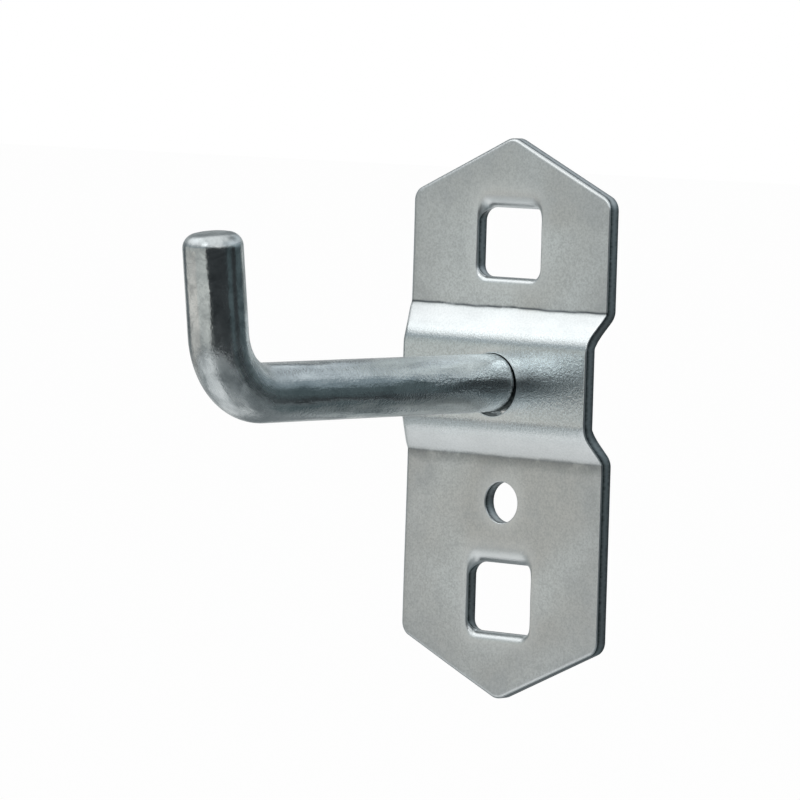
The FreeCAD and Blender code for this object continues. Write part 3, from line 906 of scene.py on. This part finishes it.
    def tongue_sections(self, upturned: bool) -> list[tuple[np.ndarray, np.ndarray, float]]:
        """Cuts a tongue across, from the window's top edge to its end.

        Args:
            upturned: The upper tongue, which turns up behind the panel, or else the straight lower one.

        Returns:
            Back and up of each cut's under and upper side, and half its width.
        """
        thick, lip, ease, half = self.thickness, self.lip_radius, self.tongue_ease, self.tongue_width / 2
        quarter = np.radians(np.linspace(0, 90, self.bend_count))
        rows = [(-self.tongue_bury, 0.0, -self.tongue_bury, thick + lip, half)]
        for turn in quarter:
            back = lip - lip * math.cos(turn)
            rows.append((back, 0.0, back, thick + lip - lip * math.sin(turn), half))
        ends = (
            (self.taper, 0.0, half), (ease, 0.0, half - self.taper + ease), (0.0, ease, half - self.taper))
        if upturned:
            middle, outer = self.panel_gap - lip, lip + thick
            for turn in quarter:
                rows.append((middle + outer * math.sin(turn), outer - outer * math.cos(turn),
                             middle + lip * math.sin(turn), outer - lip * math.cos(turn), half))
            for left, inset, width in ends:
                up = self.upturn - left
                rows.append((self.panel_gap + thick - inset, up, self.panel_gap + inset, up, width))
        else:
            for left, inset, width in ends:
                back = self.lower_reach - left
                rows.append((back, inset, back, thick - inset, width))
        return [(np.array(row[:2]), np.array(row[2:4]), row[4]) for row in rows]

    def add_tongue(self, bm: bmesh.types.BMesh, under: float, upturned: bool) -> None:
        """Adds a tongue behind a window's top edge, with cut corners and softened edges.

        Args:
            bm: Mesh that gets the tongue.
            under: Height of the tongue's underside.
            upturned: The upper tongue, or else the lower one.
        """
        ease = self.tongue_ease
        # Each corner's side, whether it is upper, and where its rounding starts.
        corners = ((-1, 0, 180), (1, 0, 270), (1, 1, 0), (-1, 1, 90))
        rings = []
        for low, high, half in self.tongue_sections(upturned):
            depth = float(np.linalg.norm(high - low))
            through = (high - low) / depth
            ring = []
            for side, upper, start in corners:
                for turn in np.radians((start, start + 45, start + 90)):
                    across = side * (half - ease) + ease * math.cos(turn)
                    back, up = low + through * (upper * (depth - 2 * ease) + ease + ease * math.sin(turn))
                    ring.append(bm.verts.new((across * MM, back * MM, (under + up) * MM)))
            rings.append(ring)
        faces = [bm.faces.new(rings[0]), bm.faces.new(rings[-1])]
        for ring, following in zip(rings, rings[1:]):
            for here in range(len(ring)):
                there = (here + 1) % len(ring)
                faces.append(bm.faces.new((ring[here], ring[there], following[there], following[here])))
        bmesh.ops.recalc_face_normals(bm, faces=faces)
        for face in faces:
            face.normal_update()
            face.material_index = int(abs(face.normal.x) > self.side_facing)

    def build(self) -> bpy.types.Object:
        """Builds the plate as one piece.

        Returns:
            The plate's object, with its two finishes.
        """
        bm = bmesh.new()
        for name in MARKS:
            bm.verts.layers.float.new(name)
        self.add_sheet(bm)
        self.add_tongue(bm, 0.0, True)
        self.add_tongue(bm, -self.tongue_pitch, False)
        mesh = bpy.data.meshes.new("back_plate_sheet")
        fill_mesh(bm, mesh, self.sharpest)
        mesh.materials.append(SatinZinc().material())
        mesh.materials.append(ShearedSteel().material())
        piece = new_object("back_plate_dressed", mesh)
        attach(piece, "root")
        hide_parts("back_plate")
        return piece


@dataclass
class HookBar:
    """The round bar: straight out of the plate, up a bend to a rounded tip, with a head at its root."""

    radius: float = 3.1
    root: float = -2.2
    corner: float = -46.598
    height: float = -18.5
    tip_rise: float = 16.4
    tip_lean: float = 7.5
    bend_radius: float = 7.0
    tip_rounding: float = 1.5
    head_radius: float = 4.0
    head_thickness: float = 1.9
    head_bevel: float = 0.4
    # How closely the mesh is divided, how near its points are welded, and which edges stay sharp.
    step: float = 0.12
    sides: int = 72
    bend_count: int = 48
    weld: float = 1e-4
    sharpest: float = 35.0

    def add_sweep(self, tree: bpy.types.NodeTree, path: bpy.types.NodeSocket,
                  girth: Callable[[bpy.types.NodeSocket], bpy.types.NodeSocket]) -> bpy.types.NodeSocket:
        """Sweeps a circle along a path and keeps its unbent coordinates on the surface.

        Args:
            tree: Tree that gets the nodes.
            path: The path's curve.
            girth: Makes the radius from the distance left to the path's end.

        Returns:
            The swept mesh.
        """
        length = add_node(tree, "GeometryNodeSplineLength")
        run = add_node(tree, "GeometryNodeSplineParameter", output="Length")
        left = add_node(tree, "ShaderNodeMath", (length, run), operation="SUBTRACT")
        ring = add_node(tree, "GeometryNodeCurvePrimitiveCircle", {"Resolution": self.sides, "Radius": 1.0})
        round_it = add_node(tree, "GeometryNodeInputPosition")
        kept = []
        for curve, kind, value in ((path, "FLOAT", run), (ring, "VECTOR", round_it)):
            capture = tree.nodes.new("GeometryNodeCaptureAttribute")
            capture.capture_items.new(kind, "kept")
            tree.links.new(curve, capture.inputs[0])
            tree.links.new(value, capture.inputs[1])
            kept.append(capture.outputs)
        tube = add_node(tree, "GeometryNodeCurveToMesh", {
            "Curve": kept[0][0], "Profile Curve": kept[1][0], "Scale": girth(left), "Fill Caps": True})
        round_place = add_node(tree, "ShaderNodeVectorMath", {
            "Vector": kept[1][1], "Scale": self.radius * MM}, operation="SCALE")
        upright = add_node(tree, "ShaderNodeCombineXYZ", {"Z": kept[0][1]})
        unbent = add_node(tree, "ShaderNodeVectorMath", (round_place, upright), operation="ADD")
        return add_node(tree, "GeometryNodeStoreNamedAttribute", {
            "Geometry": tube, "Name": "unbent", "Value": unbent}, data_type="FLOAT_VECTOR", domain="POINT")

    def tree(self, values: dict[str, object]) -> tuple[bpy.types.NodeTree, dict[str, str]]:
        """Builds the Geometry Nodes that sweep the bar and its head.

        Args:
            values: What each named input is going to be set to.

        Returns:
            The tree, and the identifier of each named input.
        """
        tree = bpy.data.node_groups.new("bar_sweep", "GeometryNodeTree")
        tree.interface.new_socket("Geometry", in_out="OUTPUT", socket_type="NodeSocketGeometry")
        identifiers = {}
        for name, value in values.items():
            kind = next(kind for owner, kind in SOCKET_KINDS.items() if isinstance(value, owner))
            identifiers[name] = tree.interface.new_socket(name, in_out="INPUT", socket_type=kind).identifier
        sizes = tree.nodes.new("NodeGroupInput").outputs

        line = add_node(tree, "GeometryNodeCurvePrimitiveLine", {"Start": sizes["Root"], "End": sizes["Tip"]})
        bent = add_node(tree, "GeometryNodeSubdivideCurve", {"Curve": line, "Cuts": 1})
        middle = add_node(tree, "FunctionNodeCompare", {
            "A_INT": add_node(tree, "GeometryNodeInputIndex"), "B_INT": 1,
        }, data_type="INT", operation="EQUAL")
        bent = add_node(tree, "GeometryNodeSetPosition", {
            "Geometry": bent, "Selection": middle, "Position": sizes["Corner"]})
        bent = add_node(tree, "GeometryNodeFilletCurve", {
            "Curve": bent, "Count": self.bend_count, "Radius": sizes["Bend Radius"]}, mode="POLY")
        head_line = add_node(tree, "GeometryNodeCurvePrimitiveLine", {
            "Start": sizes["Root"], "End": sizes["Head End"]})

        def rounded(left: bpy.types.NodeSocket) -> bpy.types.NodeSocket:
            """Rounds the bar's end: the radius closes along a quarter circle.

            Args:
                left: Distance left to the bar's end.

            Returns:
                The radius there.
            """
            share = add_node(tree, "ShaderNodeMath", (left, sizes["Tip Rounding"]), operation="DIVIDE",
                             use_clamp=True)
            rest = add_node(tree, "ShaderNodeMath", (1.0, share), operation="SUBTRACT")
            square = add_node(tree, "ShaderNodeMath", (rest, rest), operation="MULTIPLY")
            inside = add_node(tree, "ShaderNodeMath", (1.0, square), operation="SUBTRACT")
            arc = add_node(tree, "ShaderNodeMath", (inside,), operation="SQRT")
            flat = add_node(tree, "ShaderNodeMath", (sizes["Bar Radius"], sizes["Tip Rounding"]),
                            operation="SUBTRACT")
            return add_node(tree, "ShaderNodeMath", (arc, sizes["Tip Rounding"], flat),
                            operation="MULTIPLY_ADD")

        def bevelled(left: bpy.types.NodeSocket) -> bpy.types.NodeSocket:
            """Bevels the head's back edge.

            Args:
                left: Distance left to the head's back.

            Returns:
                The radius there.
            """
            short = add_node(tree, "ShaderNodeMath", (sizes["Head Radius"], sizes["Head Bevel"]),
                             operation="SUBTRACT")
            grown = add_node(tree, "ShaderNodeMath", (short, left), operation="ADD")
            return add_node(tree, "ShaderNodeMath", (grown, sizes["Head Radius"]), operation="MINIMUM")

        joined = tree.nodes.new("GeometryNodeJoinGeometry")
        for curve, girth in ((head_line, bevelled), (bent, rounded)):
            path = add_node(tree, "GeometryNodeResampleCurve", {
                "Curve": curve, "Length": sizes["Step"]}, mode="LENGTH")
            tree.links.new(self.add_sweep(tree, path, girth), joined.inputs[0])
        whole = add_node(tree, "GeometryNodeRealizeInstances", {"Geometry": joined.outputs[0]})
        whole = add_node(tree, "GeometryNodeSetMaterial", {"Geometry": whole, "Material": sizes["Finish"]})
        output = tree.nodes.new("NodeGroupOutput")
        tree.links.new(whole, output.inputs[0])
        return tree, identifiers

    def build(self) -> bpy.types.Object:
        """Builds the bar as one piece.

        Returns:
            The bar's object, with its finish.
        """
        lean = math.radians(self.tip_lean)
        tip = (0.0, (self.corner - self.tip_rise * math.tan(lean)) * MM, (self.height + self.tip_rise) * MM)
        values = {
            "Root": (0.0, self.root * MM, self.height * MM),
            "Corner": (0.0, self.corner * MM, self.height * MM),
            "Tip": tip,
            "Head End": (0.0, (self.root + self.head_thickness) * MM, self.height * MM),
            "Bar Radius": self.radius * MM,
            "Bend Radius": self.bend_radius * MM,
            "Tip Rounding": self.tip_rounding * MM,
            "Head Radius": self.head_radius * MM,
            "Head Bevel": self.head_bevel * MM,
            "Step": self.step * MM,
            "Finish": DrawnZinc().material(),
        }
        tree, identifiers = self.tree(values)
        rule = new_object("bar_rule", bpy.data.meshes.new("bar_seed"))
        modifier = rule.modifiers.new("sweep", "NODES")
        modifier.node_group = tree
        for name, value in values.items():
            modifier[identifiers[name]] = value
        graph = bpy.context.evaluated_depsgraph_get()
        mesh = bpy.data.meshes.new_from_object(rule.evaluated_get(graph), depsgraph=graph)
        bpy.data.objects.remove(rule)

        bm = bmesh.new()
        bm.from_mesh(mesh)
        bmesh.ops.remove_doubles(bm, verts=bm.verts, dist=self.weld * MM)
        fill_mesh(bm, mesh, self.sharpest)
        piece = new_object("hook_bar_dressed", mesh)
        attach(piece, "root")
        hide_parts("hook_bar")
        return piece


class Board(Enum):
    """What a board beside the object shows to the metal."""

    BLACK = "#3F4244"
    TEAL = "#5B676A"
    SHADE = "#70777A"
    SLATE = "#8B9092"
    STONE = "#98A5AC"
    SILVER = "#B4B9BA"
    GREY = "#D0D3D3"
    WARM = "#DDDDD9"
    CREAM = "#EDE7E1"
    PALE = "#E4EBF0"


@dataclass(frozen=True)
class StudioBoard:
    """A board that only reflections see: a patch of a sphere round the object, faded over its softness."""

    name: str
    shade: Board
    azimuth: Span
    elevation: Span
    distance: float
    softness: float
    steps: int = 60

    def build(self, centre: Vector) -> bpy.types.Object:
        """Builds the board.

        Args:
            centre: Middle of the sphere.

        Returns:
            The board's object.
        """
        verts, faces, cover = [], [], []
        columns = self.steps + 1
        for up in np.linspace(*self.elevation, columns):
            for turn in np.linspace(*self.azimuth, columns):
                verts.append((centre + direction(turn, up) * self.distance) * MM)
                inside = min(abs(place - edge) for place, span in ((up, self.elevation), (turn, self.azimuth))
                             for edge in span)
                cover.append(min(1.0, inside / self.softness))
        for row in range(self.steps):
            for column in range(self.steps):
                first = row * columns + column
                faces.append((first, first + 1, first + columns + 1, first + columns))
        mesh = bpy.data.meshes.new(self.name)
        mesh.from_pydata(verts, [], faces)
        material = bpy.data.materials.new(self.name)
        tree = cleared_tree(material)
        glow = add_node(tree, "ShaderNodeEmission", {"Color": linear(self.shade.value), "Strength": 1.0})
        clear = add_node(tree, "ShaderNodeBsdfTransparent")
        covered = add_node(tree, "ShaderNodeAttribute", output="Fac", attribute_name="cover")
        faded = add_node(tree, "ShaderNodeMixShader", (covered, clear, glow))
        add_node(tree, "ShaderNodeOutputMaterial", {"Surface": faded})
        mesh.materials.append(material)
        mesh.attributes.new("cover", "FLOAT", "POINT").data.foreach_set("value", cover)
        board = new_object(self.name, mesh)
        board.visible_camera = board.visible_diffuse = board.visible_shadow = False
        return board


@dataclass(frozen=True)
class SoftLamp:
    """A square softbox: its watts, its width and where it hangs round the object."""

    name: str
    power: float
    size: float
    distance: float
    azimuth: float
    elevation: float


@dataclass
class Studio:
    """A pale floor, two softboxes and boards round the object, as for a product photograph."""

    floor_height: float = -100.0
    floor_span: float = 6000.0
    floor_white: str = "#F4F4F3"
    floor_lift: float = 0.97
    ambient: float = 0.6
    centre: tuple[float, float, float] = (0.0, -22.0, -18.5)
    lamps: tuple[SoftLamp, ...] = (
        SoftLamp("overhead_softbox", 0.6, 520.0, 700.0, -60.0, 49.0),
        SoftLamp("front_softbox", 0.38, 250.0, 700.0, 6.0, 39.0),
    )
    boards: tuple[StudioBoard, ...] = (
        StudioBoard("front_board", Board.WARM, (-118.0, 30.0), (-24.0, 18.0), 160.0, 8.0),
        StudioBoard("front_gap", Board.STONE, (-118.0, 30.0), (0.5, 25.0), 165.0, 5.0),
        StudioBoard("front_low_board", Board.CREAM, (-118.0, -25.0), (-22.0, -3.0), 158.0, 4.0),
        StudioBoard("front_low_flag", Board.SILVER, (-112.0, -46.0), (-43.0, -24.0), 116.0, 6.0),
        StudioBoard("front_skirting", Board.SHADE, (-118.0, 30.0), (-28.0, -17.0), 155.0, 5.0),
        StudioBoard("left_flag", Board.SHADE, (-160.0, -68.0), (-20.0, 30.0), 150.0, 8.0),
        StudioBoard("camera_side_flag", Board.BLACK, (12.5, 84.0), (-26.0, 22.0), 140.0, 2.0),
        StudioBoard("far_right_flag", Board.TEAL, (74.0, 168.0), (-33.0, 26.0), 145.0, 6.0),
        StudioBoard("far_right_core", Board.BLACK, (94.0, 126.0), (-33.0, 24.0), 142.0, 10.0),
        StudioBoard("far_right_gap", Board.STONE, (96.0, 186.0), (6.0, 36.0), 143.0, 12.0),
        StudioBoard("far_low_flag", Board.BLACK, (118.0, 180.0), (-40.0, -9.0), 120.0, 12.0),
        StudioBoard("far_top_board", Board.PALE, (70.0, 275.0), (22.0, 58.0), 165.0, 8.0),
        StudioBoard("far_top_flag", Board.SHADE, (206.0, 275.0), (20.0, 62.0), 150.0, 6.0),
        StudioBoard("far_high_flag", Board.SHADE, (128.0, 196.0), (45.0, 73.0), 148.0, 7.0),
        StudioBoard("far_left_board", Board.GREY, (158.0, 262.0), (-33.0, 30.0), 150.0, 6.0),
        StudioBoard("far_floor_board", Board.SLATE, (78.0, 255.0), (-80.0, -26.0), 76.0, 6.0),
        StudioBoard("far_floor_flag", Board.TEAL, (120.0, 190.0), (-54.0, -28.0), 72.0, 8.0),
        StudioBoard("under_board", Board.SLATE, (-30.0, 84.0), (-89.0, -62.0), 76.0, 10.0),
        StudioBoard("right_floor_board", Board.SLATE, (10.0, 84.0), (-66.0, -20.0), 76.0, 6.0),
    )

    def white_share(self, tree: bpy.types.NodeTree, share: float) -> bpy.types.NodeSocket:
        """Gives a share to rays that show the background: from the camera, off gloss or through glass.

        Args:
            tree: Tree of the world or the floor.
            share: Share of white that these rays get.

        Returns:
            The share for the ray at hand.
        """
        seen = add_node(tree, "ShaderNodeLightPath", output="Is Camera Ray")
        for name in ("Is Glossy Ray", "Is Transmission Ray"):
            other = add_node(tree, "ShaderNodeLightPath", output=name)
            seen = add_node(tree, "ShaderNodeMath", (seen, other), operation="MAXIMUM")
        return add_node(tree, "ShaderNodeMath", (seen, share), operation="MULTIPLY")

    def build_world(self) -> None:
        """Makes the surroundings: white where they show, and softer as light."""
        world = bpy.data.worlds.new("white_room")
        tree = cleared_tree(world)
        soft, white = (add_node(tree, "ShaderNodeBackground", {"Color": linear(WHITE), "Strength": strength})
                       for strength in (self.ambient, 1.0))
        room = add_node(tree, "ShaderNodeMixShader", (self.white_share(tree, 1.0), soft, white))
        add_node(tree, "ShaderNodeOutputWorld", {"Surface": room})
        bpy.context.scene.world = world

    def build_floor(self) -> None:
        """Lays the pale floor, which keeps the object's shadow."""
        half = self.floor_span / 2 * MM
        level = self.floor_height * MM
        mesh = bpy.data.meshes.new("pale_floor")
        corners = [(-half, -half, level), (half, -half, level), (half, half, level), (-half, half, level)]
        mesh.from_pydata(corners, [], [(0, 1, 2, 3)])
        material = bpy.data.materials.new("pale_floor")
        tree = cleared_tree(material)
        matt = add_node(tree, "ShaderNodeBsdfDiffuse", {"Color": linear(self.floor_white)})
        white = add_node(tree, "ShaderNodeEmission", {"Color": linear(WHITE), "Strength": 1.0})
        lifted = add_node(tree, "ShaderNodeMixShader", (self.white_share(tree, self.floor_lift), matt, white))
        add_node(tree, "ShaderNodeOutputMaterial", {"Surface": lifted})
        mesh.materials.append(material)
        new_object("pale_floor", mesh)

    def build_lamp(self, lamp: SoftLamp) -> None:
        """Hangs a soft lamp, turned to the object.

        Args:
            lamp: The lamp's size, power and place.
        """
        light = bpy.data.lights.new(lamp.name, "AREA")
        light.shape = "SQUARE"
        light.size = lamp.size * MM
        light.energy = lamp.power
        hung = new_object(lamp.name, light)
        away = direction(lamp.azimuth, lamp.elevation)
        hung.location = (Vector(self.centre) + away * lamp.distance) * MM
        hung.rotation_mode = "QUATERNION"
        hung.rotation_quaternion = away.to_track_quat("Z", "Y")
        hung.visible_camera = False

    def build(self) -> None:
        """Builds the surroundings, floor, lamps and boards."""
        self.build_world()
        self.build_floor()
        for lamp in self.lamps:
            self.build_lamp(lamp)
        for board in self.boards:
            board.build(Vector(self.centre))


@dataclass
class PhotoCamera:
    """The long-lens camera, matched to the photograph's angle and framing."""

    azimuth: float = 40.058
    elevation: float = 3.699
    roll: float = 1.680
    distance: float = 660.725
    focal_px: float = 6196.2
    frame_px: float = 800.0
    sensor: float = 36.0
    aim: tuple[float, float, float] = (0.0, 0.0, -18.5)
    aim_px: Span = (513.3235, 381.6534)
    clip: Span = (10.0, 100000.0)

    def build(self) -> bpy.types.Object:
        """Places the camera so that the aim point falls on its pixel.

        Returns:
            The camera's object.
        """
        back = direction(self.azimuth, self.elevation)
        level = direction(self.azimuth + 90, 0.0)
        lift = back.cross(level)
        tilt = math.radians(self.roll)
        right = level * math.cos(tilt) + lift * math.sin(tilt)
        top = lift * math.cos(tilt) - level * math.sin(tilt)
        middle = self.frame_px / 2
        across, down = ((pixel - middle) / self.focal_px * self.distance for pixel in self.aim_px)
        place = Vector(self.aim) - right * across + top * down + back * self.distance
        data = bpy.data.cameras.new("photo_camera")
        data.sensor_width = self.sensor
        data.lens = self.sensor * self.focal_px / self.frame_px
        data.clip_start, data.clip_end = (limit * MM for limit in self.clip)
        camera = new_object("photo_camera", data)
        axes = Matrix((right, top, back)).transposed().to_4x4()
        camera.matrix_world = Matrix.Translation(place * MM) @ axes
        bpy.context.scene.camera = camera
        return camera


def main() -> None:
    """Builds the plate, the bar, the studio and the camera."""
    logging.basicConfig(level=logging.INFO, format="%(name)s: %(message)s")
    bpy.context.scene.view_settings.view_transform = "Standard"
    for assembly in (BackPlate(), HookBar()):
        piece = assembly.build()
        LOG.info("%s: %d faces", piece.name, len(piece.data.polygons))
    Studio().build()
    camera = PhotoCamera().build()
    LOG.info("%s: %.1f mm lens", camera.name, camera.data.lens)


if __name__ == "__main__":
    main()
